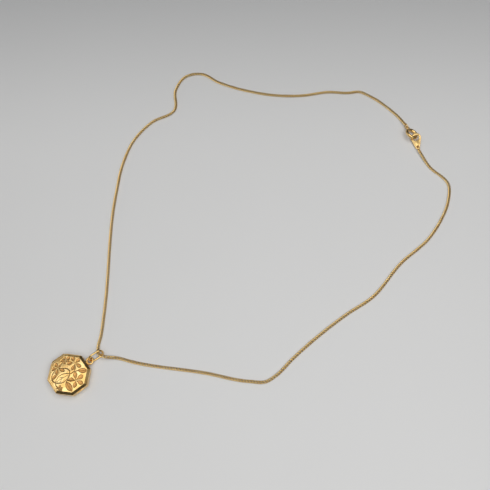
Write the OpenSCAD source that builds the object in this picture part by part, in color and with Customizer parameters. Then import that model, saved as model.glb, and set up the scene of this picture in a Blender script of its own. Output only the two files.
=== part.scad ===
// Octagonal gold locket on a fine curb chain, closed with a bolt ring.
// Millimetres. The case lies on its back at the origin, +Z up out of its face, +Y towards the ear,
// the hinge along -X and the side that opens along +X.

/* [Case] */
// Width of the case across its flat sides
case_w = 14.8; // [12:0.2:26]
// Thickness of the closed case
case_t = 4.0; // [3.8:0.1:7]
// Thickness of the pressed sheet
sheet_t = 0.4; // [0.3:0.05:0.45]
// Width of the sloping border, seen from above
slope_w = 0.9; // [0.6:0.05:1.4]
// Height of the sloping border
slope_h = 0.8; // [0.5:0.05:0.9]
// Width of the fingernail notch in the cover's edge
nick_w = 3.0; // [2:0.1:5]
// Height of the fingernail notch
nick_h = 0.3; // [0.15:0.05:0.4]
// Depth of the fingernail notch into the sheet
nick_d = 0.25; // [0.1:0.05:0.3]

/* [Closing rim] */
// Thickness of the closing rim
rim_t = 0.25; // [0.2:0.05:0.35]
// How far the rim stands into the cover
rim_rise = 0.6; // [0.4:0.05:0.65]
// How far the rim reaches down inside the back
rim_drop = 0.9; // [0.5:0.05:0.95]
// Width of the break in the rim at the hinge side
rim_break = 1.5; // [1.2:0.1:2.5]
// Gap between the rim and the cover
rim_gap = 0.05; // [0.03:0.01:0.1]
// Gap between the rim and the cover's picture frame
rim_frame_gap = 0.12; // [0.1:0.01:0.2]

/* [Pictures] */
// Thickness of a picture
card_t = 0.2; // [0.1:0.05:0.25]
// Thickness of a clear window
window_t = 0.2; // [0.1:0.05:0.25]
// Width of a picture frame
frame_w = 0.9; // [0.6:0.1:1.6]
// Gap between stacked pieces, and around a frame
loose_gap = 0.02; // [0.01:0.01:0.04]
// How far a frame stops short of the closed joint
frame_short = 0.1; // [0.05:0.05:0.2]

/* [Hinge] */
// Outside diameter of a hinge knuckle
knuckle_d = 1.2; // [1.1:0.1:1.5]
// Diameter of the hinge pin
pin_d = 0.66; // [0.5:0.02:0.7]
// Length of the hinge
hinge_l = 5.2; // [4:0.1:6]
// Distance from the case's side to the pin's axis
pin_out = 0.15; // [0.1:0.05:0.4]
// Gap between knuckles, end to end
knuckle_gap = 0.1; // [0.05:0.01:0.2]
// Gap between the cover's knuckle and the pin, all round
pin_gap = 0.02; // [0.01:0.01:0.05]
// Gap between a knuckle and the shell cut away for it
notch_gap = 0.1; // [0.05:0.05:0.2]

/* [Ear and bail ring] */
// Diameter of the ear's wire
ear_wire = 0.76; // [0.6:0.02:0.8]
// Radius of the ear, to the middle of its wire
ear_r = 1.17; // [1.1:0.01:1.4]
// Distance from the case's side to the ear's centre
ear_out = 1.35; // [1.2:0.05:1.5]
// Diameter of the bail ring's wire
bail_wire = 0.7; // [0.5:0.05:0.75]
// Half width of the bail ring, to the middle of its wire
bail_r = 1.65; // [1.6:0.05:2]
// Length of the bail ring, to the middle of its wire
bail_l = 5.5; // [5.2:0.1:7]
// How far the bail ring leans from upright
bail_lean = 25; // [15:1:35]
// Heading of the bail ring
bail_heading = 86; // [80:1:100]

/* [Chain] */
// Width of the chain
chain_d = 1.3; // [0.8:0.1:1.3]

/* [Bolt ring clasp] */
// Outside diameter of the bolt ring
ring_d = 6.0; // [5.5:0.1:7]
// Diameter of the bolt ring's tube
tube_d = 1.3; // [1.1:0.1:1.4]
// Wall of the bolt ring's tube
tube_wall = 0.23; // [0.18:0.01:0.26]
// Gap between the sliding bolt and the tube, all round
bolt_gap = 0.02; // [0.01:0.01:0.05]
// Diameter of the bolt's thumb lever
lever_d = 0.44; // [0.36:0.02:0.5]
// Distance from the ring's centre to the lever's end
lever_reach = 3.9; // [3.6:0.1:4.5]
// How far the bolt slides back, in degrees around the ring
bolt_travel = 60; // [50:1:64]
// Number of turns in the spring
spring_turns = 13; // [9:1:16]
// Diameter of the spring's wire
spring_wire = 0.12; // [0.08:0.01:0.14]
// Radius of the small fixed eye, to the middle of its wire
eye_r = 0.75; // [0.65:0.01:0.8]
// Diameter of the eye's wire
eye_wire = 0.44; // [0.36:0.02:0.46]
// Radius of a jump ring, to the middle of its wire
jump_r = 1.0; // [0.95:0.01:1.1]
// Diameter of a jump ring's wire
jump_wire = 0.5; // [0.4:0.02:0.52]

/* [End tag] */
// Thickness of the tag
tag_t = 0.4; // [0.3:0.05:0.5]
// Radius of the tag's wide end
tag_big_r = 2.15; // [2:0.05:2.4]
// Radius of the hole in the wide end
tag_big_hole = 1.25; // [1.2:0.05:1.35]
// Radius of the tag's narrow end
tag_small_r = 1.0; // [0.9:0.05:1.2]
// Radius of the hole in the narrow end
tag_small_hole = 0.5; // [0.45:0.05:0.6]
// Distance between the tag's two holes
tag_l = 4.0; // [3.8:0.1:4.6]

/* [Hidden] */
$fn = 64;

// case
side = case_w / 2;                                  // from the centre to a flat side
half_t = case_t / 2;                                // height of the joint between the two shells
cavity = side - sheet_t;                            // from the centre to a shell's inner side
slope_l = sqrt(slope_w * slope_w + slope_h * slope_h);
floor_r = side - slope_w - sheet_t * (slope_l - slope_w) / slope_h;
inner_slope_w = cavity - floor_r;
inner_slope_h = inner_slope_w * slope_h / slope_w;
eps = 0.05;                                         // how far a cutter runs past what it cuts

// what lies inside a half, measured up from the shell's outer face
card_z = sheet_t + loose_gap;
window_z = card_z + card_t + loose_gap;
frame_z = window_z + window_t + loose_gap;
frame_top = half_t - frame_short;
rim_inner = cavity - rim_gap - rim_t;
flange_z = sheet_t + inner_slope_h + loose_gap;     // the cover's frame is held by a flange here
flange_h = half_t - flange_z - rim_rise - 2 * rim_gap;
function inner_r(z) = floor_r + (z - sheet_t) * slope_w / slope_h - loose_gap;

// hinge
pin_x = -side - pin_out;
back_knuckle_l = (hinge_l - 2 * knuckle_gap) / 3;
web_h = 1.1;                                        // height of the leaf that joins knuckle and shell
web_t = 0.1;                                        // how far that leaf stands out past the pin's axis

// ear and bail ring
ear_y = side + ear_out;
ear_z = half_t - ear_wire / 2 - 0.2;
bail_z = bail_r * cos(bail_lean) + bail_wire / 2 + 0.02;
bail_x = -0.2;
bail_y = ear_y + 0.1;

// clasp
tube_r = ring_d / 2 - tube_d / 2;                   // radius of the tube's centre line
bore_r = tube_d / 2 - tube_wall;
bolt_r = bore_r - bolt_gap;
mouth = 52;                                         // the tube runs from here round to far_mouth
far_mouth = 348;
bolt_tip = -15;
bolt_end = 84;
lever_at = 62;
stop_at = 205;                                      // crimp that the spring pushes against
stop_l = 5;
eye_at = 163;
slot_w = lever_d + 0.1;
ring_tilt = -27;

// The necklace is laid out for an ear whose centre is this far from the centre of the case.
laid_ear_y = 8.75;
necklace_y = ear_y - laid_ear_y;
ring_at = [2.4, 172.0, 1.93];
clasp_jump_at = [-2.3, 173.2, 1.27];
clasp_jump_heading = 163;
tag_at = [4.9, 171.95, 1.82];
tag_turn = [25, 12, -30];                           // roll, slope and heading of the tag
tag_jump_at = [9.15, 169.55, 1.27];
tag_jump_heading = -28;

// The chain's route, from the clasp's jump ring to the bail ring and on to the tag's jump ring.
route = [
    [-3.3, 173.5, 1.15], [-6.5, 174.1, 0.8], [-12.5, 174, 0.7], [-24.5, 171.5, 0.7], [-28.5, 169.6, 0.7],
    [-31, 165.5, 0.7], [-37, 158.5, 0.7], [-42.5, 148.5, 0.7], [-50, 139, 0.7], [-59.5, 130.6, 0.7],
    [-71.5, 123, 0.7], [-80, 119.5, 0.7], [-83, 113.5, 0.7], [-80, 105.5, 0.7], [-71.5, 98.5, 0.7],
    [-72.5, 87.5, 0.7], [-69.8, 76, 0.7], [-63.5, 66.2, 0.7], [-52.5, 55, 0.7], [-12, 22.6, 0.7],
    [-6, 17.4, 0.75], [-2.2, 13.6, 0.9], [-0.2, 12.7, 1.5], [1.7, 13.6, 1.8], [5, 17.2, 0.8],
    [10.5, 21.5, 0.7], [30, 40, 0.7], [42.5, 51, 0.7], [46.5, 56, 0.7], [47, 60, 0.7],
    [46, 69, 0.7], [45.5, 96.5, 0.7], [46.5, 109, 0.7], [43, 127.5, 0.7], [42, 144.5, 0.7],
    [39.5, 153, 0.7], [35, 162, 0.7], [29.5, 167.7, 0.7], [18, 167.5, 0.7], [10.1, 169.1, 1.15]
];

gold = [0.83, 0.62, 0.30];
dark_gold = [0.70, 0.50, 0.24];

// ---------------------------------------------------------------- shapes used more than once

// Upright octagon with flat sides facing X and Y; r is from the centre to a flat side.
module octagon(r, h) {
    rotate([0, 0, 22.5]) cylinder(r = r / cos(22.5), h = h, $fn = 8);
}

// The same, with its lower edge cut away to a slope all round.
module sloped_octagon(r, h, w, rise) {
    difference() {
        octagon(r, h);
        for (k = [0:7])
            rotate([0, 0, 45 * k])
                translate([r - w, 0, 0])
                    rotate([0, -atan2(rise, w), 0])
                        translate([-1, -r, -2 * rise])
                            cube([w + rise + 2, 2 * r, 2 * rise]);
    }
}

module octagon_ring(r, width, h) {
    difference() {
        octagon(r, h);
        translate([0, 0, -eps]) octagon(r - width, h + 2 * eps);
    }
}

// One pressed half of the case, open side up.
module half_shell() {
    difference() {
        sloped_octagon(side, half_t, slope_w, slope_h);
        translate([0, 0, sheet_t])
            sloped_octagon(cavity, half_t, inner_slope_w, inner_slope_h);
        translate([pin_x, 0, half_t])
            rotate([90, 0, 0])
                cylinder(r = knuckle_d / 2 + notch_gap, h = hinge_l + 4 * knuckle_gap, center = true);
    }
}

// Turns a piece made for the back half over into the cover.
module in_cover() {
    translate([0, 0, case_t]) mirror([0, 0, 1]) children();
}

module wire_ring(r, wire) {
    rotate_extrude() translate([r, 0]) circle(d = wire, $fn = 32);
}

module wire_arc(r, wire, from, to) {
    rotate([0, 0, from]) rotate_extrude(angle = to - from) translate([r, 0]) circle(d = wire, $fn = 32);
}

// A knuckle from y0 to y1, with the leaf that joins it to the shell below.
module knuckle(y0, y1, bore_d) {
    difference() {
        union() {
            translate([pin_x, y1, half_t]) rotate([90, 0, 0]) cylinder(d = knuckle_d, h = y1 - y0);
            translate([pin_x - web_t, y0, half_t - web_h]) cube([web_t + pin_out, y1 - y0, web_h]);
        }
        translate([pin_x, y1 + eps, half_t])
            rotate([90, 0, 0])
                cylinder(d = bore_d, h = y1 - y0 + 2 * eps);
    }
}

// Everything on the chain keeps its place beside the ear.
module on_necklace(at, turn = [0, 0, 0]) {
    translate([at[0], at[1] + necklace_y, at[2]]) rotate(turn) children();
}

// ---------------------------------------------------------------- case

module back_shell() {
    color(gold) half_shell();
}

module front_shell() {
    nick_r = (nick_w * nick_w / 4 + nick_h * nick_h) / (2 * nick_h);
    color(gold)
        difference() {
            in_cover() half_shell();
            translate([side - nick_d, 0, half_t + nick_h - nick_r])
                rotate([0, 90, 0])
                    cylinder(r = nick_r, h = nick_d + eps);
        }
}

module closing_rim() {
    color(dark_gold)
        difference() {
            union() {
                translate([0, 0, half_t - rim_drop])
                    octagon_ring(cavity, rim_t + rim_gap, rim_drop - rim_gap);
                translate([0, 0, half_t - rim_drop])
                    octagon_ring(cavity - rim_gap, rim_t, rim_drop + rim_rise);
            }
            translate([-side - rim_break, -side, half_t - rim_drop - eps])
                cube([2 * rim_break, 2 * side, rim_drop + rim_rise + 2 * eps]);
        }
}

module picture() {
    translate([0, 0, card_z]) octagon(inner_r(card_z), card_t);
}

module window() {
    translate([0, 0, window_z]) octagon(inner_r(window_z), window_t);
}

module picture_frame(r) {
    translate([0, 0, frame_z]) octagon_ring(r, frame_w, frame_top - frame_z);
}

module back_picture() {
    color([0.62, 0.52, 0.44]) picture();
}

module front_picture() {
    color([0.55, 0.58, 0.60]) in_cover() picture();
}

module back_window() {
    color([0.85, 0.9, 0.92, 0.35]) window();
}

module front_window() {
    color([0.85, 0.9, 0.92, 0.35]) in_cover() window();
}

module back_frame() {
    color(dark_gold) picture_frame(rim_inner - loose_gap);
}

module front_frame() {
    color(dark_gold)
        in_cover() {
            picture_frame(rim_inner - rim_frame_gap);
            translate([0, 0, flange_z]) octagon_ring(cavity - loose_gap, frame_w, flange_h);
        }
}

// ---------------------------------------------------------------- hinge

module back_knuckles() {
    color(gold) {
        knuckle(-hinge_l / 2, -hinge_l / 2 + back_knuckle_l, pin_d);
        knuckle(hinge_l / 2 - back_knuckle_l, hinge_l / 2, pin_d);
    }
}

module front_knuckle() {
    color(gold)
        in_cover() knuckle(-back_knuckle_l / 2, back_knuckle_l / 2, pin_d + 2 * pin_gap);
}

module hinge_pin() {
    color(dark_gold)
        translate([pin_x, 0, half_t])
            rotate([90, 0, 0])
                cylinder(d = pin_d, h = hinge_l, center = true);
}

// ---------------------------------------------------------------- ear and bail ring

module ear_ring() {
    color(gold)
        difference() {
            translate([0, ear_y, ear_z]) wire_ring(ear_r, ear_wire);
            translate([-side, side - case_t, 0]) cube([2 * side, case_t, case_t]);
        }
}

module bail_ring() {
    straight = bail_l - 2 * bail_r;
    color(gold)
        translate([bail_x, bail_y, bail_z])
            rotate([90 - bail_lean, 0, bail_heading]) {
                translate([bail_r, 0, 0]) wire_arc(bail_r, bail_wire, 90, 270);
                translate([bail_r + straight, 0, 0]) wire_arc(bail_r, bail_wire, -90, 90);
                for (s = [-1, 1])
                    translate([bail_r, s * bail_r, 0])
                        rotate([0, 90, 0])
                            cylinder(d = bail_wire, h = straight, $fn = 32);
            }
}

// ---------------------------------------------------------------- chain

function unit(v) = v / norm(v);

// Direction of a smooth curve at point i; the nearer neighbour counts for more.
function heading(p, i) =
    i == 0 ? unit(p[1] - p[0]) :
    i == len(p) - 1 ? unit(p[i] - p[i - 1]) :
    let (a = p[i] - p[i - 1], b = p[i + 1] - p[i])
        unit(unit(a) * norm(b) + unit(b) * norm(a));

// The point halfway along the smooth curve from point i to the next.
function halfway(p, i) =
    (p[i] + p[i + 1]) / 2 + norm(p[i + 1] - p[i]) * (heading(p, i) - heading(p, i + 1)) / 8;

function smooth(p) = concat(
    [for (i = [0:len(p) - 2], half = [false, true]) half ? halfway(p, i) : p[i]],
    [p[len(p) - 1]]);

// A closed tube of round section, swept along the points p.
module tube_along(p, r, sides) {
    rings = [for (i = [0:len(p) - 1])
        let (t = heading(p, i), s = unit(cross(t, [0, 0, 1])), u = cross(s, t))
            for (k = [0:sides - 1])
                p[i] + r * (cos(360 * k / sides) * s + sin(360 * k / sides) * u)];
    last = (len(p) - 1) * sides;
    walls = [for (i = [0:len(p) - 2], k = [0:sides - 1])
        let (a = i * sides + k, b = i * sides + (k + 1) % sides)
            [a, b, b + sides, a + sides]];
    ends = [[for (k = [0:sides - 1]) sides - 1 - k], [for (k = [0:sides - 1]) last + k]];
    polyhedron(points = rings, faces = concat(walls, ends), convexity = 8);
}

module chain() {
    color(gold) on_necklace([0, 0, 0]) tube_along(smooth(route), chain_d / 2, 8);
}

// ---------------------------------------------------------------- clasp and end tag

module at_ring() {
    on_necklace(ring_at, [ring_tilt, 0, 0]) children();
}

module clasp_jump_ring() {
    color(gold)
        on_necklace(clasp_jump_at, [90, 0, clasp_jump_heading]) wire_ring(jump_r, jump_wire);
}

module bolt_ring_eye() {
    color(gold)
        at_ring()
            difference() {
                rotate([0, 0, eye_at]) translate([ring_d / 2 + eye_r, 0, 0]) wire_ring(eye_r, eye_wire);
                wire_ring(tube_r, tube_d);
            }
}

module bolt_ring_tube() {
    color(gold)
        at_ring() {
            difference() {
                wire_arc(tube_r, tube_d, mouth, far_mouth);
                wire_arc(tube_r, 2 * bore_r, mouth - 1, far_mouth + 1);
                rotate([0, 0, lever_at - 7])
                    rotate_extrude(angle = bolt_travel + 14)
                        translate([tube_r, -slot_w / 2])
                            square([tube_d, slot_w]);
            }
            wire_arc(tube_r, 2 * bore_r + tube_wall, stop_at, stop_at + stop_l);
        }
}

module bolt_slide() {
    color(dark_gold)
        at_ring() {
            wire_arc(tube_r, 2 * bolt_r, bolt_tip, bolt_end);
            rotate([0, 0, bolt_tip]) translate([tube_r, 0, 0]) sphere(r = bolt_r, $fn = 32);
            rotate([0, 0, lever_at])
                translate([tube_r, 0, 0])
                    rotate([0, 90, 0])
                        cylinder(d = lever_d, h = lever_reach - lever_d / 2 - tube_r, $fn = 32);
            rotate([0, 0, lever_at])
                translate([lever_reach - lever_d / 2, 0, 0])
                    sphere(d = lever_d + 0.1, $fn = 32);
        }
}

module bolt_spring() {
    steps = 10;
    from = bolt_end + 1.5;
    to = stop_at - 1.5;
    coil_r = bore_r - spring_wire / 2 - 0.03;
    turn = 360 * spring_turns;
    function on_spring(f) =
        let (a = from + (to - from) * f, r = tube_r + coil_r * cos(turn * f))
            [r * cos(a), r * sin(a), coil_r * sin(turn * f)];
    color("silver")
        at_ring()
            tube_along([for (i = [0:spring_turns * steps]) on_spring(i / (spring_turns * steps))],
                       spring_wire / 2, 5);
}

module end_tag() {
    lean = acos((tag_big_r - tag_small_r) / tag_l);
    color(gold)
        on_necklace(tag_at, tag_turn)
            translate([0, 0, -tag_t / 2])
                linear_extrude(tag_t)
                    difference() {
                        union() {
                            circle(r = tag_big_r);
                            translate([tag_l, 0]) circle(r = tag_small_r);
                            polygon([for (c = [[0, tag_big_r, 1], [0, tag_big_r, -1],
                                               [tag_l, tag_small_r, -1], [tag_l, tag_small_r, 1]])
                                [c[0] + c[1] * cos(lean), c[2] * c[1] * sin(lean)]]);
                        }
                        circle(r = tag_big_hole);
                        translate([tag_l, 0]) circle(r = tag_small_hole);
                    }
}

module tag_jump_ring() {
    color(gold)
        on_necklace(tag_jump_at, [90, 0, tag_jump_heading]) wire_ring(jump_r, jump_wire);
}

back_shell();
front_shell();
closing_rim();
back_picture();
front_picture();
back_window();
front_window();
back_frame();
front_frame();
back_knuckles();
front_knuckle();
hinge_pin();
ear_ring();
bail_ring();
chain();
clasp_jump_ring();
bolt_ring_eye();
bolt_ring_tube();
bolt_slide();
bolt_spring();
end_tag();
tag_jump_ring();
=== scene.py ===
import math

import bmesh
import bpy
import numpy
from mathutils import Matrix, Vector, noise


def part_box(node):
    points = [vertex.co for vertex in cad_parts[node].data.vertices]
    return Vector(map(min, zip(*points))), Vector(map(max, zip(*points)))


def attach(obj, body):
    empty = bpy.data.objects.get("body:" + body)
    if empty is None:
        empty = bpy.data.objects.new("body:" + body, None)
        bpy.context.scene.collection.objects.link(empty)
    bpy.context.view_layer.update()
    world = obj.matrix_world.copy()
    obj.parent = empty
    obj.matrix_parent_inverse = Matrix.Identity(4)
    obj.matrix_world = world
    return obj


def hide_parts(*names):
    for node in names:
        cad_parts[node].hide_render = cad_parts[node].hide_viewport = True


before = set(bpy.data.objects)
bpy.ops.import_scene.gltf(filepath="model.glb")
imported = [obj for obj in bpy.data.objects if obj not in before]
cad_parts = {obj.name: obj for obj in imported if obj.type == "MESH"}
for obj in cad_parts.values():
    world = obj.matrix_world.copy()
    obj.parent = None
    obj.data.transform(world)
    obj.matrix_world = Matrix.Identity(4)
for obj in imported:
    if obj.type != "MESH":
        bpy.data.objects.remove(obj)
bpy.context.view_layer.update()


# ---------------------------------------------------------------- camera
# Held about 24 cm above the table, on the locket's opening side, and looking across it and down, so
# that the whole loop of chain is in view.
camera = bpy.data.objects.new("camera", bpy.data.cameras.new("camera"))
bpy.context.scene.collection.objects.link(camera)
camera.location = (0.0763, 0.0227, 0.2389)
camera.rotation_euler = (math.radians(22.5), 0, math.radians(52))
camera.data.lens = 47
camera.data.clip_start = 0.005
bpy.context.scene.camera = camera
bpy.context.scene.view_settings.view_transform = "Standard"


# ---------------------------------------------------------------- chain
# Fine curb chain of yellow gold: oval links of round wire, each given a quarter turn of twist and
# filed flat, then soldered shut through the last. It lies loose on the table and runs through the bail.
route = [
    (-3.3, 173.5, 1.15), (-6.5, 174.1, 0.8), (-12.5, 174, 0.7), (-24.5, 171.5, 0.7), (-28.5, 169.6, 0.7),
    (-31, 165.5, 0.7), (-37, 158.5, 0.7), (-42.5, 148.5, 0.7), (-50, 139, 0.7), (-59.5, 130.6, 0.7),
    (-71.5, 123, 0.7), (-80, 119.5, 0.7), (-83, 113.5, 0.7), (-80, 105.5, 0.7), (-71.5, 98.5, 0.7),
    (-72.5, 87.5, 0.7), (-69.8, 76, 0.7), (-63.5, 66.2, 0.7), (-52.5, 55, 0.7), (-12, 22.6, 0.7),
    (-6, 17.4, 0.75), (-2.2, 13.6, 0.9), (-0.2, 12.7, 1.5), (1.7, 13.6, 1.8), (5, 17.2, 0.8),
    (10.5, 21.5, 0.7), (30, 40, 0.7), (42.5, 51, 0.7), (46.5, 56, 0.7), (47, 60, 0.7),
    (46, 69, 0.7), (45.5, 96.5, 0.7), (46.5, 109, 0.7), (43, 127.5, 0.7), (42, 144.5, 0.7),
    (39.5, 153, 0.7), (35, 162, 0.7), (29.5, 167.7, 0.7), (18, 167.5, 0.7), (10.1, 169.1, 1.15)
]
link_pitch = 1.1225  # inside length of a link, which is the step from one to the next
link_wire = 0.42
link_width = 1.3
link_flat = 0.3  # height above a link's middle at which it is filed flat


def heading(points, i):
    """Direction of a smooth curve at point i; the nearer neighbour counts for more."""
    before = points[i] - points[i - 1] if i else None
    after = points[i + 1] - points[i] if i + 1 < len(points) else None
    if before is None or after is None:
        return (after or before).normalized()
    return (before.normalized() * after.length + after.normalized() * before.length).normalized()


def smooth_line(points, steps):
    """Points close together along the smooth curve through the given ones."""
    line = []
    for i in range(len(points) - 1):
        a, b = points[i], points[i + 1]
        size = (b - a).length
        out, into = heading(points, i) * size, heading(points, i + 1) * size
        for t in (k / steps for k in range(steps)):
            line.append(a * (2 * t**3 - 3 * t**2 + 1) + out * (t**3 - 2 * t**2 + t)
                        + b * (3 * t**2 - 2 * t**3) + into * (t**3 - t**2))
    return line + [points[-1]]


class Line:
    """A line that is looked up by the distance along it."""

    def __init__(self, points):
        self.points = points
        self.marks = [0.0]
        for a, b in zip(points, points[1:]):
            self.marks.append(self.marks[-1] + (b - a).length)
        self.length = self.marks[-1]

    def at(self, distance):
        i = int(numpy.searchsorted(self.marks, distance)) - 1
        i = min(max(i, 0), len(self.points) - 2)
        part = (distance - self.marks[i]) / (self.marks[i + 1] - self.marks[i])
        return self.points[i].lerp(self.points[i + 1], part)


def wire_ring(bm, radius, wire, sides, steps, start=0.0, turn=360.0):
    """Bends a round wire to a ring, or part of one, about Z. Angles are in degrees."""
    start, turn = math.radians(start), math.radians(turn)
    whole = turn > 6.283
    place = Matrix.Rotation(start, 4, "Z") @ Matrix.Translation((radius, 0, 0)) @ Matrix.Rotation(math.pi / 2, 4, "X")
    verts = bmesh.ops.create_circle(bm, segments=sides, radius=wire / 2, matrix=place)["verts"]
    edges = list({e for v in verts for e in v.link_edges})
    last = bmesh.ops.spin(bm, geom=verts + edges, cent=(0, 0, 0), axis=(0, 0, 1), angle=turn, steps=steps,
                          use_merge=whole)["geom_last"]
    if not whole:
        for end in (edges, [g for g in last if isinstance(g, bmesh.types.BMEdge)]):
            bmesh.ops.contextual_create(bm, geom=end)


def finish_piece(name, bm, material, body, nodes, sharp=35):
    """Makes a mesh in millimetres into a piece of the locket, in metres."""
    bmesh.ops.recalc_face_normals(bm, faces=bm.faces)
    bmesh.ops.scale(bm, vec=(0.001, 0.001, 0.001), verts=bm.verts)
    mesh = bpy.data.meshes.new(name)
    bm.to_mesh(mesh)
    bm.free()
    mesh.shade_smooth()
    mesh.set_sharp_from_angle(angle=math.radians(sharp))
    mesh.materials.append(material)
    piece = bpy.data.objects.new(name, mesh)
    bpy.context.scene.collection.objects.link(piece)
    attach(piece, body)
    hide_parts(*nodes)
    return piece


class Socket:
    """One output in a material's nodes. Sums written with it add their own Math nodes."""

    def __init__(self, tree, output=None):
        self.tree = tree
        self.output = output

    def node(self, kind, settings=None, inputs=None, output=0):
        made = self.tree.nodes.new("ShaderNode" + kind)
        for name, value in (settings or {}).items():
            if name == "stops":
                while len(made.color_ramp.elements) < len(value):
                    made.color_ramp.elements.new(0.5)
                for element, (place, colour) in zip(made.color_ramp.elements, value):
                    element.position = place
                    element.color = (*colour, 1)
            else:
                setattr(made, name, value)
        for name, value in (inputs or {}).items():
            if isinstance(value, Socket):
                self.tree.links.new(value.output, made.inputs[name])
            else:
                made.inputs[name].default_value = value
        return Socket(self.tree, made.outputs[output])

    def maths(self, operation, a, b=0.0):
        return self.node("Math", {"operation": operation}, {0: a, 1: b})

    def __add__(self, other):
        return self.maths("ADD", self, other)

    def __radd__(self, other):
        return self.maths("ADD", other, self)

    def __sub__(self, other):
        return self.maths("SUBTRACT", self, other)

    def __rsub__(self, other):
        return self.maths("SUBTRACT", other, self)

    def __mul__(self, other):
        return self.maths("MULTIPLY", self, other)

    def __rmul__(self, other):
        return self.maths("MULTIPLY", other, self)

    def __pow__(self, other):
        return self.maths("POWER", self, other)

    def band(self, low, high):
        """0 below low, 1 above high, and smooth between."""
        return self.node("MapRange", {"interpolation_type": "SMOOTHSTEP"}, {"Value": self, "From Min": low, "From Max": high})

    def blend(self, low, high):
        """Colour low where this is 0, and high where it is 1."""
        colours = [c if isinstance(c, Socket) else (*c, 1) for c in (low, high)]
        return self.node("Mix", {"data_type": "RGBA"}, {0: self, 6: colours[0], 7: colours[1]}, output=2)


def new_material(name):
    """An empty material: its shader, and a socket to build from."""
    material = bpy.data.materials.new(name)
    material.use_nodes = True
    return material, material.node_tree.nodes["Principled BSDF"], Socket(material.node_tree)


def gold(name, bright, deep, polish, wear, dents, grime=None, grime_and_shade_colour=(0.09, 0.045, 0.015), matt=None):
    """Yellow gold. polish is its roughness and wear what fine scratches add; dents is the depth of its soft dents,
    in metres. Two vertex attributes may be named: the first is 1 where the gold is dirty and where shade is painted in,
    both drawn in the dark colour given with it, and the second is 1 where the gold is left matt."""
    material, shader, start = new_material(name)
    place = start.node("TexCoord", output="Object")
    patches = start.node("TexNoise", inputs={"Vector": place, "Scale": 420, "Detail": 3})
    ripples = start.node("TexNoise", inputs={"Vector": place, "Scale": 900, "Detail": 1})
    rubbed = start.node("Mapping", inputs={"Vector": place, "Rotation": (0.3, 0.2, 0.7), "Scale": (300, 9000, 300)})
    crossed = start.node("Mapping", inputs={"Vector": place, "Rotation": (0.1, 0.5, -0.5), "Scale": (7000, 260, 260)})
    scratches = (start.node("TexNoise", inputs={"Vector": rubbed, "Scale": 1, "Detail": 2}).band(0.64, 0.8)
                 + start.node("TexNoise", inputs={"Vector": crossed, "Scale": 1, "Detail": 2}).band(0.66, 0.82))
    colour = patches.band(0.3, 0.7).blend(deep, bright)
    rough = polish + patches * wear * 0.6 + scratches * wear
    if matt:
        frosted = start.node("Attribute", {"attribute_name": matt}, output="Fac")
        colour = frosted.blend(colour, (0.62, 0.32, 0.1))
        rough = rough + frosted * 0.18
    # Dirty places and painted shade: the first attribute darkens the colour and roughens the gold.
    if grime:
        dirt_and_shade = start.node("Attribute", {"attribute_name": grime}, output="Fac")
        colour = dirt_and_shade.blend(colour, grime_and_shade_colour)
        rough = rough + dirt_and_shade * 0.3
    height = ripples * dents - scratches * 0.0000005
    if matt:
        grain = start.node("TexNoise", inputs={"Vector": place, "Scale": 9000, "Detail": 2})
        height = height + grain * frosted * 0.00002
    shader.inputs["Metallic"].default_value = 1
    start.tree.links.new(colour.output, shader.inputs["Base Color"])
    start.tree.links.new(rough.output, shader.inputs["Roughness"])
    bump = start.node("Bump", inputs={"Strength": 1.0, "Distance": 1.0, "Height": height})
    start.tree.links.new(bump.output, shader.inputs["Normal"])
    return material


points = [Vector(p) for p in route]
for p in points:
    p.z -= 0.25 * min(1, max(0, (1 - p.z) / 0.3))  # the flat links lie lower than a round cord would
laid = Line(smooth_line(points, 24))

link = bmesh.new()
wire_ring(link, 1, link_wire, 6, 14)
half_length, half_width = (link_pitch + link_wire) / 2, (link_width - link_wire) / 2
for v in link.verts:
    around = Vector((v.co.x, v.co.y, 0)).normalized()
    centre = Vector((around.x * half_length, around.y * half_width, 0))
    v.co = centre + (v.co - around)
    turned = Matrix.Rotation(math.radians(52) * centre.x / half_length, 3, "X") @ v.co
    v.co = turned
    v.co.z = max(-link_flat, min(link_flat, v.co.z))
link_mesh = bpy.data.meshes.new("link")
link.to_mesh(link_mesh)
link.free()

first = link_pitch / 2 - 0.25
count = 1 + round((laid.length - 2 * first) / link_pitch)
step = (laid.length - 2 * first) / (count - 1)
bm = bmesh.new()
grime = bm.verts.layers.float.new("grime")
for i in range(count):
    s = first + i * step
    forward = (laid.at(s + 0.5) - laid.at(s - 0.5)).normalized()
    side = Vector((0, 0, 1)).cross(forward).normalized()
    turn = Matrix((forward, side, forward.cross(side))).transposed()
    roll = Matrix.Rotation(0.3 * noise.noise(Vector((i * 0.3, 0, 0))) + 0.12 * noise.noise(Vector((i * 1.7, 5, 0))), 3, "X")
    old = len(bm.verts)
    bm.from_mesh(link_mesh)
    bm.verts.ensure_lookup_table()
    place = turn @ roll
    for v in bm.verts[old:]:
        # This layer darkens each link's ends, where it lies in its neighbours, and its underside more than its top:
        # dirty joints, and painted shade between and under the links.
        v[grime] = min(1.0, max(0.0, (abs(v.co.x) / half_length - 0.56) / 0.25)) * (1 if v.co.z < 0.1 else 0.55)
        v.co = laid.at(s) + place @ v.co
chain_gold = gold("chain gold", (1.0, 0.74, 0.32), (0.94, 0.64, 0.23), 0.22, 0.08, 0.000004, grime="grime",
                  grime_and_shade_colour=(0.22, 0.105, 0.03))
chain = finish_piece("chain_links", bm, chain_gold, "necklace", ["chain"], sharp=60)
bpy.data.meshes.remove(link_mesh)


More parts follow.
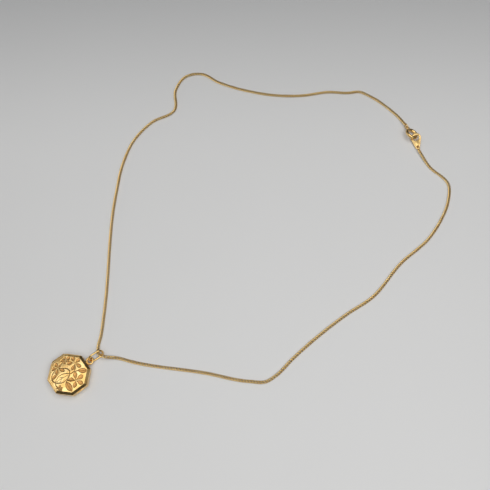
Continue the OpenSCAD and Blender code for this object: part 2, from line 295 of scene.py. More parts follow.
# ---------------------------------------------------------------- jump rings
# Two rings of round gold wire, bent round and closed with a bare hairline gap. One holds the clasp to
# the chain's first link, the other the end tag to its last.
jump_gold = gold("jump ring gold", (0.90, 0.63, 0.26), (0.82, 0.53, 0.19), 0.16, 0.08, 0.000006)
for name, node, facing, gap in (("clasp_ring", "clasp_jump_ring", 163, 100), ("tag_ring", "tag_jump_ring", -28, 70)):
    low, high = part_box(node)
    bm = bmesh.new()
    wire_ring(bm, 1.0, 0.5, 20, 60, start=gap + 1.6, turn=356.8)
    rims = [e for e in bm.edges if e.calc_face_angle(0) > 1.2]
    bmesh.ops.bevel(bm, geom=rims, offset=0.04, segments=3, profile=0.5, material=-1, affect="EDGES")
    bmesh.ops.transform(bm, verts=bm.verts, matrix=Matrix.Translation((low + high) * 500)
                        @ Matrix.Rotation(math.radians(facing), 4, "Z") @ Matrix.Rotation(math.pi / 2, 4, "X"))
    finish_piece(name, bm, jump_gold, "necklace", [node])


# ---------------------------------------------------------------- bolt ring
# The clasp: a ring of hollow gold tube, open at one side, with a sprung bolt inside it and a small eye
# soldered to its back. The bolt's lever sticks out through a slot in the tube's outer side.
ring_place = Matrix.Translation((2.4, 172.0, 1.93)) @ Matrix.Rotation(math.radians(-27), 4, "X")
tube_radius = 2.35
clasp_gold = gold("clasp gold", (0.91, 0.64, 0.27), (0.82, 0.53, 0.19), 0.13, 0.08, 0.000008)

bm = bmesh.new()
surfaces = []
for radius, slot_edge in ((0.65, 24), (0.42, 39)):
    ends = []
    stand = Matrix.Rotation(math.radians(52), 4, "Z") @ Matrix.Translation((tube_radius, 0, 0)) @ Matrix.Rotation(math.pi / 2, 4, "X")
    verts = bmesh.ops.create_circle(bm, segments=24, radius=radius)["verts"]
    for v in verts:
        angle = math.degrees(math.atan2(v.co.y, v.co.x))
        size = abs(angle)
        size = size * slot_edge / 30 if size <= 30.01 else slot_edge + (size - 30) * (180 - slot_edge) / 150
        angle = math.copysign(math.radians(size), angle)
        v.co = stand @ Vector((radius * math.cos(angle), radius * math.sin(angle), 0))
    ends += [list({e for v in verts for e in v.link_edges})]
    old = set(bm.faces)
    last = bmesh.ops.spin(bm, geom=verts + ends[0], cent=(0, 0, 0), axis=(0, 0, 1), angle=math.radians(296), steps=80)
    ends += [[g for g in last["geom_last"] if isinstance(g, bmesh.types.BMEdge)]]
    surfaces.append((set(bm.faces) - old, ends))
for k in (0, 1):
    bmesh.ops.bridge_loops(bm, edges=surfaces[0][1][k] + surfaces[1][1][k])
slot_rims = []
for faces, ends in surfaces:
    doomed = []
    for face in faces:
        c = face.calc_center_median()
        around = math.degrees(math.atan2(c.y, c.x)) % 360
        out = Vector((math.hypot(c.x, c.y) - tube_radius, c.z))
        if 55.7 < around < 129.7 and abs(math.degrees(math.atan2(out.y, out.x))) < (24 if faces is surfaces[0][0] else 39):
            doomed.append(face)
    rim = {e for f in doomed for e in f.edges if sum(g in doomed for g in e.link_faces) == 1}
    bmesh.ops.delete(bm, geom=doomed, context="FACES_ONLY")
    slot_rims += list(rim)
bmesh.ops.delete(bm, geom=[e for e in bm.edges if not e.link_faces], context="EDGES")
slot_rims = [e for e in slot_rims if e.is_valid]
bmesh.ops.bridge_loops(bm, edges=slot_rims)
bmesh.ops.delete(bm, geom=[v for v in bm.verts if not v.link_edges], context="VERTS")
bmesh.ops.recalc_face_normals(bm, faces=bm.faces)
rims = [e for e in bm.edges if e.is_manifold and e.calc_face_angle(0) > 0.9]
bmesh.ops.bevel(bm, geom=rims, offset=0.03, segments=2, profile=0.5, material=-1, affect="EDGES")
bmesh.ops.transform(bm, verts=bm.verts, matrix=ring_place)
ring_tube = finish_piece("ring_tube", bm, clasp_gold, "necklace", ["bolt_ring_tube"])

bm = bmesh.new()
wire_ring(bm, 0.75, 0.44, 20, 48)
bmesh.ops.transform(bm, verts=bm.verts, matrix=ring_place @ Matrix.Rotation(math.radians(163), 4, "Z") @ Matrix.Translation((3.75, 0, 0)))
ring_eye = finish_piece("ring_eye", bm, clasp_gold, "necklace", ["bolt_ring_eye"])

# The bolt is a curved gold rod with a rounded nose and a short lever with a ball for the thumbnail.
bm = bmesh.new()
wire_ring(bm, tube_radius, 0.8, 20, 36, start=-15, turn=99)
nose = bmesh.ops.create_uvsphere(bm, u_segments=20, v_segments=12, radius=0.4)["verts"]
bmesh.ops.transform(bm, verts=nose, matrix=Matrix.Rotation(math.radians(-15), 4, "Z") @ Matrix.Translation((tube_radius, 0, 0)))
out = Matrix.Rotation(math.radians(62), 4, "Z") @ Matrix.Translation((tube_radius, 0, 0)) @ Matrix.Rotation(math.pi / 2, 4, "Y")
bmesh.ops.create_cone(bm, cap_ends=True, segments=16, radius1=0.2, radius2=0.18, depth=1.2, matrix=out @ Matrix.Translation((0, 0, 0.7)))
bmesh.ops.create_uvsphere(bm, u_segments=20, v_segments=12, radius=0.27, matrix=out @ Matrix.Translation((0, 0, 1.28)))
bmesh.ops.transform(bm, verts=bm.verts, matrix=ring_place)
bolt = finish_piece("bolt", bm, clasp_gold, "bolt", ["bolt_slide"], sharp=50)

# A fine coil of hard steel wire inside the tube pushes the bolt shut.
spring_steel, shader, start = new_material("spring steel")
place = start.node("TexCoord", output="Object")
streaks = start.node("TexNoise", inputs={"Vector": place, "Scale": 3000, "Detail": 3})
shader.inputs["Metallic"].default_value = 1
start.tree.links.new(streaks.blend((0.34, 0.35, 0.37), (0.52, 0.53, 0.54)).output, shader.inputs["Base Color"])
start.tree.links.new((0.2 + streaks * 0.25).output, shader.inputs["Roughness"])
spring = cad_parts["bolt_spring"]
spring.data.materials.clear()
spring.data.materials.append(spring_steel)


# ---------------------------------------------------------------- end tag
# A flat pear-shaped plate stamped from gold sheet, with a large hole that the bolt ring closes through
# and a small one for the jump ring. Its edges are tumbled round.
tag_place = (Matrix.Translation((4.9, 171.95, 1.82)) @ Matrix.Rotation(math.radians(-30), 4, "Z")
             @ Matrix.Rotation(math.radians(12), 4, "Y") @ Matrix.Rotation(math.radians(25), 4, "X"))
outline = bpy.data.curves.new("tag outline", "CURVE")
outline.dimensions = "2D"
outline.fill_mode = "BOTH"
lean = math.acos((2.15 - 1.0) / 4.0)
sweep = [lean + (2 * math.pi - 2 * lean) * k / 40 for k in range(41)]
outer = [(2.15 * math.cos(a), 2.15 * math.sin(a)) for a in sweep]
sweep = [-lean + 2 * lean * k / 20 for k in range(21)]
outer += [(4.0 + math.cos(a), math.sin(a)) for a in sweep]
holes = [[(x + r * math.cos(math.tau * k / 40), r * math.sin(math.tau * k / 40)) for k in range(40)] for x, r in ((0, 1.25), (4.0, 0.5))]
for loop in (outer, *holes):
    spline = outline.splines.new("POLY")
    spline.points.add(len(loop) - 1)
    spline.use_cyclic_u = True
    for point, (x, y) in zip(spline.points, loop):
        point.co = (x, y, 0, 1)
outline.extrude = 0.11
outline.bevel_depth = 0.09
outline.bevel_resolution = 3
outline.offset = -0.09
plate = bpy.data.objects.new("plate", outline)
bpy.context.scene.collection.objects.link(plate)
bm = bmesh.new()
plate_mesh = plate.to_mesh()
bm.from_mesh(plate_mesh)
bpy.data.objects.remove(plate)
bmesh.ops.remove_doubles(bm, verts=bm.verts, dist=0.001)
bmesh.ops.transform(bm, verts=bm.verts, matrix=tag_place)
tag_gold = gold("tag gold", (0.90, 0.64, 0.28), (0.84, 0.56, 0.22), 0.2, 0.12, 0.000006)
tag = finish_piece("tag", bm, tag_gold, "necklace", ["end_tag"], sharp=28)
weighted = tag.modifiers.new("even shading", "WEIGHTED_NORMAL")
weighted.keep_sharp = True

[p * 0.001 for p in laid.points]


# ---------------------------------------------------------------- bail
# A long oval ring of round gold wire, soldered shut. It hangs in the locket's ear, and the chain runs
# through its other end.
bail_radius, bail_length = 1.65, 5.5
straight = bail_length - 2 * bail_radius
bm = bmesh.new()
stand = Matrix.Translation((0, bail_radius, 0)) @ Matrix.Rotation(math.pi / 2, 4, "Y")
verts = bmesh.ops.create_circle(bm, segments=24, radius=0.35, matrix=stand)["verts"]
rim = list({e for v in verts for e in v.link_edges})
geom = verts + rim
for centre, shift in ((0, straight), (straight, -straight)):
    geom = bmesh.ops.spin(bm, geom=geom, cent=(centre, 0, 0), axis=(0, 0, 1), angle=math.pi, steps=32)["geom_last"]
    edges = [g for g in geom if isinstance(g, bmesh.types.BMEdge)]
    made = bmesh.ops.extrude_edge_only(bm, edges=edges)["geom"]
    verts = [g for g in made if isinstance(g, bmesh.types.BMVert)]
    bmesh.ops.translate(bm, verts=verts, vec=(shift, 0, 0))
    geom = verts + [g for g in made if isinstance(g, bmesh.types.BMEdge) and all(v in verts for v in g.verts)]
bmesh.ops.remove_doubles(bm, verts=bm.verts, dist=0.001)
bail_place = (Matrix.Translation((-0.2, 8.85, 1.65 * math.cos(math.radians(25)) + 0.37)) @ Matrix.Rotation(math.radians(86), 4, "Z")
              @ Matrix.Rotation(math.radians(65), 4, "X") @ Matrix.Translation((bail_radius, 0, 0)))
bmesh.ops.transform(bm, verts=bm.verts, matrix=bail_place)
bail_gold = gold("bail gold", (0.91, 0.65, 0.28), (0.82, 0.54, 0.2), 0.14, 0.08, 0.000008)
finish_piece("bail", bm, bail_gold, "bail", ["bail_ring"])


# ---------------------------------------------------------------- case
# Two octagonal halves pressed from gold sheet, each with a sloping border and upright sides. The sheet
# is thin, so the wide face swells a little and its flats are never quite flat.
case_side, case_height, middle = 7.4, 4.0, 2.0


def flat_distance(x, y):
    """How far out a point is, measured square to an octagon's flats; the octagon's corners are a little round."""
    reach = [max(0.0, x * math.cos(a) + y * math.sin(a)) for a in (k * math.pi / 4 for k in range(8))]
    top = max(reach)
    return top * sum((r / top) ** 110 for r in reach) ** (1 / 110) if top else 0.0


def rounded(corners, size, steps=3):
    """A profile with each inner corner eased into a small curve."""
    line = [corners[0]]
    for a, b, c in zip(corners, corners[1:], corners[2:]):
        a, b, c = Vector(a), Vector(b), Vector(c)
        start, end = b + (a - b).normalized() * size, b + (c - b).normalized() * size
        for t in (k / steps for k in range(steps + 1)):
            line.append(tuple(start * (1 - t) ** 2 + b * 2 * t * (1 - t) + end * t * t))
    return line + [corners[-1]]


def pressed_half(cells, surface):
    """One half, as the cover: its face is a fine grid raised by surface(x, y), and its walls are drawn down
    from the grid's rim, turned in, and taken up inside."""
    bm = bmesh.new()
    bmesh.ops.create_grid(bm, x_segments=cells, y_segments=cells, size=6.6)
    for k in range(8):
        out = Vector((math.cos(k * math.pi / 4), math.sin(k * math.pi / 4), 0))
        bmesh.ops.bisect_plane(bm, geom=bm.verts[:] + bm.edges[:] + bm.faces[:], plane_co=out * 6.5, plane_no=out, clear_outer=True)
    bmesh.ops.remove_doubles(bm, verts=bm.verts, dist=0.002)
    for v in bm.verts:
        if v.co.length > 1:
            sharp = max(v.co.x * math.cos(k * math.pi / 4) + v.co.y * math.sin(k * math.pi / 4) for k in range(8))
            v.co *= sharp / flat_distance(v.co.x, v.co.y)
    surface(bm)
    edges = [e for e in bm.edges if e.is_boundary]
    wall = rounded([(6.44, 3.9), (6.5, 3.88), (case_side, 3.13), (case_side, middle + 0.01), (7.0, middle + 0.01), (7.0, 3.02), (6.35, 3.6)], 0.055)
    for out, z in wall:
        made = bmesh.ops.extrude_edge_only(bm, edges=edges)["geom"]
        verts = {g for g in made if isinstance(g, bmesh.types.BMVert)}
        edges = [g for g in made if isinstance(g, bmesh.types.BMEdge) and all(v in verts for v in g.verts)]
        for v in verts:
            away = flat_distance(v.co.x, v.co.y)
            v.co = (v.co.x * out / away, v.co.y * out / away, z)
    bmesh.ops.contextual_create(bm, geom=edges)
    return bm


def cut_hinge_notch(bm):
    """Cuts the scoop that the knuckles lie in, out of the wall on the hinge side."""
    for place, out in ((Vector((0, 2.8, 0)), Vector((0, 1, 0))), (Vector((0, -2.8, 0)), Vector((0, -1, 0)))):
        near = [f for f in bm.faces if f.calc_center_median().x < -6.9 and f.calc_center_median().z < 3.15
                and abs(f.calc_center_median().y) < 3.2]
        near += list({e for f in near for e in f.edges}) + list({v for f in near for v in f.verts})
        bmesh.ops.bisect_plane(bm, geom=near, plane_co=place, plane_no=out, dist=0.0005)
    for inner, height in ((False, middle + 0.68), (True, middle + 0.43)):
        near = [f for f in bm.faces if abs(f.calc_center_median().y) < 2.8 and f.calc_center_median().x < -6.9
                and (f.calc_center_median().x > -7.1) == inner and f.calc_center_median().z < 3.15]
        near += list({e for f in near for e in f.edges}) + list({v for f in near for v in f.verts})
        bmesh.ops.bisect_plane(bm, geom=near, plane_co=(0, 0, height), plane_no=(0, 0, 1), dist=0.0005)
    doomed = []
    for f in bm.faces:
        c = f.calc_center_median()
        if abs(c.y) < 2.8 and c.x < -6.9 and c.z < (middle + 0.43 if c.x > -7.1 else middle + 0.68):
            doomed.append(f)
    doomed = set(doomed)
    rim = {e for f in doomed for e in f.edges if sum(g in doomed for g in e.link_faces) == 1}
    bmesh.ops.delete(bm, geom=list(doomed), context="FACES")
    rim = [e for e in rim if e.is_valid]
    floor_edges = [e for e in rim if abs(e.verts[0].co.z - e.verts[1].co.z) < 0.001 and abs(e.verts[0].co.x - e.verts[1].co.x) < 0.001]
    bmesh.ops.bridge_loops(bm, edges=floor_edges)
    for side in (-2.8, 2.8):
        bmesh.ops.contextual_create(bm, geom=[e for e in bm.edges if e.is_boundary and all(abs(v.co.y - side) < 0.01 for v in e.verts)])


# The cover: hand-engraved with flowers, leaves and curling stems. Petals are cut shallow and left matt,
# outlines and stems are bright V-cuts, and the cuts are darkened: left a little dirty by years of wear, and given
# painted shade in the grooves.
def leaf_shape(x, y, start, end, half_width, belly=0.5):
    """Distance in from a pointed leaf's edge, in millimetres, and how far along it the point is."""
    ax, ay = end[0] - start[0], end[1] - start[1]
    size = math.hypot(ax, ay)
    along = ((x - start[0]) * ax + (y - start[1]) * ay) / size**2
    across = ((x - start[0]) * ay - (y - start[1]) * ax) / size
    t = numpy.clip(along, 0, 1)
    warped = t ** (math.log(0.5) / math.log(belly))
    width = half_width * numpy.sin(numpy.pi * warped) ** 0.8
    beyond = numpy.maximum(0, numpy.abs(along - 0.5) - 0.5) * size
    return numpy.where(beyond > 0, -numpy.hypot(beyond, numpy.abs(across)), width - numpy.abs(across)), t, across


def stem_distance(x, y, knots):
    """Distance from a smooth stem through the given points."""
    line = smooth_line([Vector((*k, 0)) for k in knots], 8)
    best = numpy.full(x.shape, 1e9)
    for a, b in zip(line, line[1:]):
        d = b - a
        t = numpy.clip(((x - a.x) * d.x + (y - a.y) * d.y) / d.length_squared, 0, 1)
        best = numpy.minimum(best, numpy.hypot(x - a.x - t * d.x, y - a.y - t * d.y))
    return best


petals = [  # root, tip, half width and where it is widest
    ((3.6, 1.5), (3.7, 3.9), 0.72, 0.6), ((4.2, 1.2), (6.3, 2.3), 0.62, 0.6), ((4.1, 0.6), (5.5, -1.0), 0.62, 0.55),
    ((3.2, 0.5), (1.8, -0.9), 0.62, 0.6), ((3.1, 1.2), (0.9, 2.3), 0.62, 0.6),
    ((-2.0, 4.6), (-2.2, 6.35), 0.55, 0.6), ((-1.4, 4.3), (0.6, 5.0), 0.55, 0.6), ((-1.5, 3.6), (-0.4, 1.8), 0.6, 0.6),
    ((-2.5, 3.5), (-3.5, 1.7), 0.62, 0.6), ((-2.7, 4.1), (-4.7, 4.7), 0.58, 0.6),
    ((-5.0, 2.2), (-5.1, 3.9), 0.5, 0.6), ((-4.8, 1.9), (-3.9, 2.6), 0.35, 0.6), ((-5.2, 1.8), (-6.2, 2.2), 0.4, 0.6),
    ((-5.0, 1.5), (-5.9, 0.4), 0.42, 0.6), ((-4.7, 1.5), (-4.2, 0.6), 0.35, 0.6),
    ((-4.5, -1.9), (-6.3, -1.6), 0.5, 0.6), ((-4.4, -2.5), (-5.2, -4.1), 0.55, 0.6), ((-3.9, -2.3), (-2.6, -3.6), 0.5, 0.6),
    ((-3.9, -1.6), (-1.7, -0.6), 0.5, 0.6), ((-4.4, -1.6), (-4.6, -0.5), 0.4, 0.6),
    ((2.5, -5.3), (1.6, -4.7), 0.3, 0.6), ((2.6, -5.2), (3.0, -4.4), 0.3, 0.6), ((2.8, -5.4), (3.8, -5.3), 0.3, 0.6),
    ((2.6, -5.5), (3.0, -6.2), 0.28, 0.6), ((2.4, -5.5), (1.7, -6.1), 0.28, 0.6)
]
hearts = [((3.65, 0.95), 0.34), ((-2.0, 4.0), 0.34), ((-5.0, 1.85), 0.24), ((-4.3, -2.1), 0.28), ((2.6, -5.35), 0.16)]
matt_leaves = [((1.0, 3.6), (3.2, 6.0), 0.78, 0.5), ((2.1, -2.3), (6.1, -2.3), 0.95, 0.5), ((-2.4, -3.4), (-1.9, -6.1), 0.45, 0.4)]
bright_leaf = ((0.2, 0.3), (-0.2, -5.5), 1.42, 0.52)
stems = [
    [(0.2, 0.3), (-0.6, 0.85), (-1.5, 0.85), (-2.4, 0.4), (-3.0, -0.4), (-3.6, -1.4)],
    [(0.2, 0.3), (0.45, 1.2), (0.35, 2.2), (-0.3, 3.0), (-1.5, 3.7)],
    [(0.2, 0.3), (0.9, -0.3), (1.5, -1.3), (2.1, -2.3)],
    [(0.35, 1.4), (0.7, 2.6), (1.0, 3.6)],
    [(-4.9, 1.3), (-4.9, 0.4), (-4.7, -0.5), (-4.2, -1.4)],
    [(-0.2, -5.5), (-1.2, -5.9), (-2.6, -5.6), (-3.6, -4.6), (-4.1, -3.2)],
    [(-0.2, -5.5), (0.8, -5.9), (1.8, -5.7), (2.5, -5.4)],
    [(1.6, -1.4), (2.4, -0.9), (2.9, -0.2), (3.4, 0.7)]
]
veins = [[(0.15, -0.5), (0.05, -2.0), (-0.15, -3.6), (-0.2, -5.0)], [(0.05, -2.1), (-0.35, -2.5), (-0.7, -3.2)], [(0.0, -3.0), (0.45, -3.5), (0.7, -4.2)],
         [(1.3, 4.0), (2.1, 4.8), (2.9, 5.6)], [(2.5, -2.3), (4.0, -2.45), (5.6, -2.3)]]


def engraved(bm):
    """Raises the cover's face to its shallow dome and cuts the engraving into it."""
    matt = bm.verts.layers.float.new("matt")
    grime = bm.verts.layers.float.new("grime")
    x, y = numpy.array([(v.co.x, v.co.y) for v in bm.verts]).T
    z = 3.985 - 0.1 * numpy.array([(flat_distance(*p) / 6.5) ** 2 for p in zip(x, y)])
    z += numpy.array([0.024 * noise.noise(Vector((a / 2.8, b / 2.8, 4))) for a, b in zip(x, y)]) - 0.014
    # The darkening layer marks each cut along its line: the cuts are dirty, and painted shade lies in the grooves.
    dull, dirt_and_shade, depth = numpy.zeros(x.shape), numpy.zeros(x.shape), numpy.zeros(x.shape)
    rough = numpy.array([noise.noise(Vector((a * 3.4, b * 3.4, 9))) for a, b in zip(x, y)])
    for root, tip, half_width, belly in petals + matt_leaves:
        inside, along, across = leaf_shape(x, y, root, tip, half_width, belly)
        mask = numpy.clip(inside / 0.12, 0, 1)
        dish = mask * (0.04 + 0.07 * numpy.clip(inside / half_width, 0, 1) + 0.035 * numpy.clip(across / half_width, -1, 1))
        depth = numpy.maximum(depth, dish * (1 + 0.25 * rough))
        dull = numpy.maximum(dull, mask)
        cut = numpy.exp(-(inside / 0.11) ** 2)
        depth = numpy.maximum(depth, 0.1 * cut)
        dirt_and_shade = numpy.maximum(dirt_and_shade, 0.8 * numpy.exp(-(inside / 0.1) ** 2))
    for centre, radius in hearts:
        away = numpy.hypot(x - centre[0], y - centre[1])
        depth = numpy.where(away < radius, 0.02 + 0.03 * (away / radius) ** 2, depth)
        depth = numpy.maximum(depth, 0.07 * numpy.exp(-((away - radius) / 0.07) ** 2))
        dirt_and_shade = numpy.maximum(dirt_and_shade, 0.8 * numpy.exp(-((away - radius) / 0.06) ** 2))
    inside, along, across = leaf_shape(x, y, *bright_leaf)
    depth = numpy.maximum(depth, 0.11 * numpy.exp(-(inside / 0.15) ** 2))
    depth = numpy.maximum(depth, numpy.clip(inside / 0.5, 0, 1) * 0.02)
    dirt_and_shade = numpy.maximum(dirt_and_shade, 0.8 * numpy.exp(-(inside / 0.11) ** 2))
    for knots, wide, deep in [(s, 0.15, 0.1) for s in stems] + [(v, 0.11, 0.07) for v in veins]:
        away = stem_distance(x, y, knots)
        depth = numpy.maximum(depth, deep * numpy.exp(-(away / wide) ** 2))
        dirt_and_shade = numpy.maximum(dirt_and_shade, 0.8 * numpy.exp(-(away / (wide * 0.8)) ** 2))
    fade = numpy.clip((6.5 - numpy.maximum(numpy.maximum(abs(x), abs(y)), (abs(x) + abs(y)) * 0.7071)) / 0.25, 0, 1)
    for v, height, m, g in zip(bm.verts, z - depth * fade, dull * fade, dirt_and_shade * fade):
        v.co.z = height
        v[matt] = m
        v[grime] = g
    bm.faces.ensure_lookup_table()


def plain(bm):
    """The back's face: plain, with the same shallow dome."""
    for v in bm.verts:
        v.co.z = 3.99 - 0.1 * (flat_distance(v.co.x, v.co.y) / 6.5) ** 2 + 0.006 * noise.noise(Vector((v.co.x / 3, v.co.y / 3, 0)))


bm = pressed_half(236, engraved)
for v in bm.verts:
    if v.co.x > 7.05 and v.co.z < middle + 0.35 and abs(v.co.y) < 1.5:  # the fingernail's nick
        v.co.x -= 0.22 * (1 - (v.co.y / 1.5) ** 2) * (1 - (v.co.z - middle) / 0.35)
    if v.co.z < 3.65 or flat_distance(v.co.x, v.co.y) > 6.46:
        v[bm.verts.layers.float["matt"]] = 0
        v[bm.verts.layers.float["grime"]] = 0
cut_hinge_notch(bm)
cover_gold = gold("engraved gold", (0.93, 0.67, 0.3), (0.76, 0.46, 0.15), 0.15, 0.12, 0.000012, grime="grime",
                  grime_and_shade_colour=(0.12, 0.045, 0.01), matt="matt")
cover = finish_piece("cover", bm, cover_gold, "cover", ["front_shell"], sharp=60)

# The back is the same pressing without the engraving, and lies on the table.
bm = pressed_half(60, plain)
cut_hinge_notch(bm)
bmesh.ops.scale(bm, vec=(1, 1, -1), verts=bm.verts)
bmesh.ops.translate(bm, vec=(0, 0, case_height), verts=bm.verts)
case_gold = gold("case gold", (0.92, 0.65, 0.27), (0.84, 0.55, 0.2), 0.12, 0.14, 0.00001)
finish_piece("back", bm, case_gold, "back", ["back_shell"], sharp=60)


# ---------------------------------------------------------------- hinge
# Three knuckles of gold tube, two soldered to the back and one to the cover, each with a strip that
# joins it to its shell. A drawn gold wire runs through all three and is peened round at both ends.
axis_x = -7.55


def knuckle(bm, low, high, bore):
    """A length of tube along Y about the pin, and the strip below it."""
    corners = [bm.verts.new(p) for p in ((axis_x + bore, low, middle), (axis_x + 0.6, low, middle), (axis_x + 0.6, high, middle), (axis_x + bore, high, middle))]
    section = bm.faces.new(corners)
    eased = bmesh.ops.bevel(bm, geom=list(section.verts), offset=0.05, segments=2, profile=0.5, material=-1, affect="VERTICES")
    faces = [f for f in bm.faces if all(abs(v.co.z - middle) < 1e-6 for v in f.verts) and low - 0.001 < f.calc_center_median().y < high + 0.001]
    edges = list({e for f in faces for e in f.edges})
    verts = list({v for f in faces for v in f.verts})
    bmesh.ops.delete(bm, geom=faces, context="FACES_ONLY")
    bmesh.ops.spin(bm, geom=verts + edges, cent=(axis_x, 0, middle), axis=(0, 1, 0), angle=math.tau, steps=32, use_merge=True)
    strip = bmesh.ops.create_cube(bm, size=1, matrix=Matrix.Translation((axis_x + 0.025, (low + high) / 2, middle - 0.8))
                                  @ Matrix.Diagonal((0.25, high - low, 0.6, 1)))["verts"]
    rims = [e for e in {e for v in strip for e in v.link_edges} if all(v.co.x < axis_x for v in e.verts)]
    bmesh.ops.bevel(bm, geom=rims, offset=0.04, segments=2, profile=0.5, material=-1, affect="EDGES")


bm = bmesh.new()
knuckle(bm, -2.6, -0.9333, 0.33)
knuckle(bm, 0.9333, 2.6, 0.33)
finish_piece("knuckles", bm, case_gold, "back", ["back_knuckles"])
bm = bmesh.new()
knuckle(bm, -0.8333, 0.8333, 0.35)
bmesh.ops.scale(bm, vec=(1, 1, -1), verts=bm.verts)
bmesh.ops.translate(bm, vec=(0, 0, case_height), verts=bm.verts)
finish_piece("cover_knuckle", bm, case_gold, "cover", ["front_knuckle"])
bm = bmesh.new()
bmesh.ops.create_cone(bm, cap_ends=True, segments=32, radius1=0.33, radius2=0.33, depth=5.2,
                      matrix=Matrix.Translation((axis_x, 0, middle)) @ Matrix.Rotation(math.pi / 2, 4, "X"))
rims = [e for e in bm.edges if e.calc_face_angle(0) > 1]
bmesh.ops.bevel(bm, geom=rims, offset=0.08, segments=3, profile=0.5, material=-1, affect="EDGES")
finish_piece("pin", bm, jump_gold, "back", ["hinge_pin"])


# ---------------------------------------------------------------- ear
# A closed ring of thick gold wire, filed flat where it is soldered to the back's upper side.
bm = bmesh.new()
wire_ring(bm, 1.17, 0.76, 28, 72)
bmesh.ops.translate(bm, vec=(0, 8.75, 1.42), verts=bm.verts)
bmesh.ops.bisect_plane(bm, geom=bm.verts[:] + bm.edges[:] + bm.faces[:], plane_co=(0, case_side, 0), plane_no=(0, -1, 0), clear_outer=True)
bmesh.ops.contextual_create(bm, geom=[e for e in bm.edges if e.is_boundary])
finish_piece("ear", bm, bail_gold, "back", ["ear_ring"])


# ---------------------------------------------------------------- inside
# A rim of gold strip stands inside the back and makes the closing fit. Each half holds a picture under
# a clear window, kept in by a springy gold frame that snaps in over it.
def eight_sided(bm, section, ease):
    """Takes a section, as (distance out, height) points, once round the octagon."""
    verts = [bm.verts.new((out / math.cos(math.pi / 8), 0, z)) for out, z in section]
    face = bm.faces.new(verts)
    bmesh.ops.bevel(bm, geom=list(face.verts), offset=ease, segments=2, profile=0.5, material=-1, affect="VERTICES")
    faces, edges, verts = bm.faces[:], bm.edges[:], bm.verts[:]
    bmesh.ops.delete(bm, geom=faces, context="FACES_ONLY")
    bmesh.ops.rotate(bm, verts=verts, cent=(0, 0, 0), matrix=Matrix.Rotation(math.pi / 8, 3, "Z"))
    bmesh.ops.spin(bm, geom=verts + edges, cent=(0, 0, 0), axis=(0, 0, 1), angle=math.tau, steps=8, use_merge=True)


inside_gold = gold("inside gold", (0.88, 0.61, 0.25), (0.8, 0.51, 0.19), 0.26, 0.12, 0.000004)
bm = bmesh.new()
eight_sided(bm, [(6.7, 1.1), (7.0, 1.1), (7.0, 1.95), (6.95, 1.95), (6.95, 2.6), (6.7, 2.6)], 0.03)
bmesh.ops.bisect_plane(bm, geom=bm.verts[:] + bm.edges[:] + bm.faces[:], plane_co=(-5.9, 0, 0), plane_no=(-1, 0, 0), clear_outer=True)
bmesh.ops.holes_fill(bm, edges=[e for e in bm.edges if e.is_boundary])
finish_piece("closing_strip", bm, inside_gold, "back", ["closing_rim"])
bm = bmesh.new()
eight_sided(bm, [(5.78, 0.84), (6.68, 0.84), (6.68, 1.9), (6.45, 1.9), (6.3, 1.6), (5.95, 1.2), (5.78, 1.1)], 0.04)
finish_piece("back_holder", bm, inside_gold, "back", ["back_frame"])
bm = bmesh.new()
eight_sided(bm, [(5.68, 3.16), (6.58, 3.16), (6.98, 3.0), (6.98, 2.72), (6.58, 2.7), (6.58, 2.1), (6.35, 2.1), (6.2, 2.4), (5.85, 2.8), (5.68, 2.9)], 0.03)
finish_piece("cover_holder", bm, inside_gold, "cover", ["front_frame"])

# The pictures are two little brown prints on card, a view of hills and one of the sea, faded at the
# edges. They lie face up under windows of clear film.
def print_on_card(name, horizon, heights, sky, land):
    """A faded brown print: sky above the horizon and land or water below it, darker at the edges."""
    material, shader, start = new_material(name)
    place = start.node("TexCoord", output="Object")
    parts = start.node("SeparateXYZ", inputs={"Vector": place})
    across, up = parts, Socket(start.tree, parts.output.node.outputs[1])
    hills = start.node("TexNoise", {"noise_dimensions": "1D"}, {"W": across * 1000, "Scale": 0.28, "Detail": 3})
    line = up * 1000 - hills * heights - horizon
    clouds = start.node("TexNoise", inputs={"Vector": place, "Scale": 330, "Detail": 5})
    strokes = start.node("TexNoise", inputs={"Vector": start.node("Mapping", inputs={"Vector": place, "Scale": (300, 1500, 300)}),
                                             "Scale": 1, "Detail": 4})
    above = clouds.band(0.35, 0.7).blend(sky, (0.80, 0.70, 0.52))
    below = strokes.band(0.3, 0.7).blend(land, tuple(c * 1.9 for c in land))
    picture = line.band(-0.06, 0.06).blend(below, above)
    edge = (across * across + up * up) * 1000000
    faded = edge.band(16, 46).blend(picture, (0.30, 0.20, 0.11))
    fibres = start.node("TexNoise", inputs={"Vector": place, "Scale": 5000, "Detail": 3})
    start.tree.links.new(faded.output, shader.inputs["Base Color"])
    start.tree.links.new((0.45 + fibres * 0.2).output, shader.inputs["Roughness"])
    bump = start.node("Bump", inputs={"Strength": 0.4, "Distance": 1.0, "Height": fibres * 0.00001})
    start.tree.links.new(bump.output, shader.inputs["Normal"])
    return material


for node, material in (("back_picture", print_on_card("hills print", -1.6, 3.0, (0.62, 0.50, 0.34), (0.10, 0.06, 0.03))),
                       ("front_picture", print_on_card("sea print", 0.2, 0.0, (0.66, 0.55, 0.38), (0.20, 0.14, 0.08)))):
    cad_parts[node].data.materials.clear()
    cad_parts[node].data.materials.append(material)

clear_film, shader, start = new_material("clear film")
place = start.node("TexCoord", output="Object")
smears = start.node("TexNoise", inputs={"Vector": place, "Scale": 500, "Detail": 3})
shader.inputs["Base Color"].default_value = (0.97, 0.98, 0.97, 1)
shader.inputs["Transmission Weight"].default_value = 1
shader.inputs["IOR"].default_value = 1.49
start.tree.links.new((0.02 + smears.band(0.45, 0.8) * 0.08).output, shader.inputs["Roughness"])
for node in ("back_window", "front_window"):
    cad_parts[node].data.materials.clear()
    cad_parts[node].data.materials.append(clear_film)
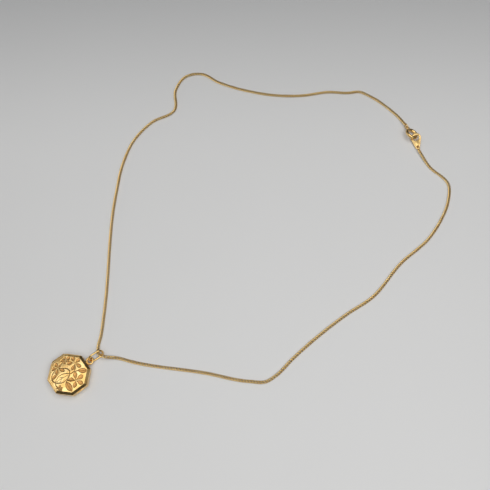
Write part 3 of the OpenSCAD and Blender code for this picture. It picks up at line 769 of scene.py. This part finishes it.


# ---------------------------------------------------------------- table and light
# A wide sheet of pale grey card under the necklace, with a large soft light above it and a weaker one
# to the side. The room beyond is dim, which is what the gold's slopes mirror. The card's colour is painted darker
# towards the far side, as painted shade where the light falls off.
bm = bmesh.new()
bmesh.ops.create_grid(bm, x_segments=24, y_segments=24, size=2.5)
table_mesh = bpy.data.meshes.new("table")
bm.to_mesh(table_mesh)
bm.free()
table = bpy.data.objects.new("table", table_mesh)
bpy.context.scene.collection.objects.link(table)
card, shader, start = new_material("pale card")
place = start.node("TexCoord", output="Object")
cloudy = start.node("TexNoise", inputs={"Vector": place, "Scale": 9, "Detail": 3})
specks = start.node("TexNoise", inputs={"Vector": place, "Scale": 600, "Detail": 2})
# Painted shade: the card's colour greys between 9 and 24 cm out from its middle towards the far side, standing in for
# the light falling off there.
sweep = start.node("Mapping", inputs={"Vector": place, "Rotation": (0, 0, math.radians(38))})
painted_shade_far = start.node("SeparateXYZ", inputs={"Vector": sweep}, output="X")
pale = cloudy.blend((0.80, 0.795, 0.785), (0.84, 0.835, 0.825))
start.tree.links.new(painted_shade_far.band(-0.09, -0.24).blend(pale, (0.52, 0.52, 0.52)).output, shader.inputs["Base Color"])
start.tree.links.new((0.5 + specks * 0.1).output, shader.inputs["Roughness"])
table_mesh.materials.append(card)

for name, place, aim, size, power in (("window", (0.2, 0.06, 0.5), (0.2, 0.06, 0), (0.76, 0.68), 2.75),
                                      ("fill", (-0.37, -0.05, 0.5), (-0.37, -0.05, 0), (0.34, 0.7), 0.26),
                                      ("right", (0.5, 0.7, 0.4), (0, 0.05, 0), (0.3, 0.3), 0.08),
                                      ("left", (-0.5, -0.62, 0.13), (0, 0, 0.05), (0.8, 0.24), 0.75)):
    lamp = bpy.data.lights.new(name, "AREA")
    lamp.shape = "RECTANGLE"
    lamp.size, lamp.size_y = size
    lamp.energy = power
    holder = bpy.data.objects.new(name, lamp)
    bpy.context.scene.collection.objects.link(holder)
    holder.location = place
    holder.rotation_euler = (Vector(aim) - Vector(place)).to_track_quat("-Z", "Y").to_euler()
room = bpy.data.worlds.new("room")
room.use_nodes = True
room.node_tree.nodes["Background"].inputs["Color"].default_value = (0.9, 0.95, 1, 1)
room.node_tree.nodes["Background"].inputs["Strength"].default_value = 0.08
bpy.context.scene.world = room
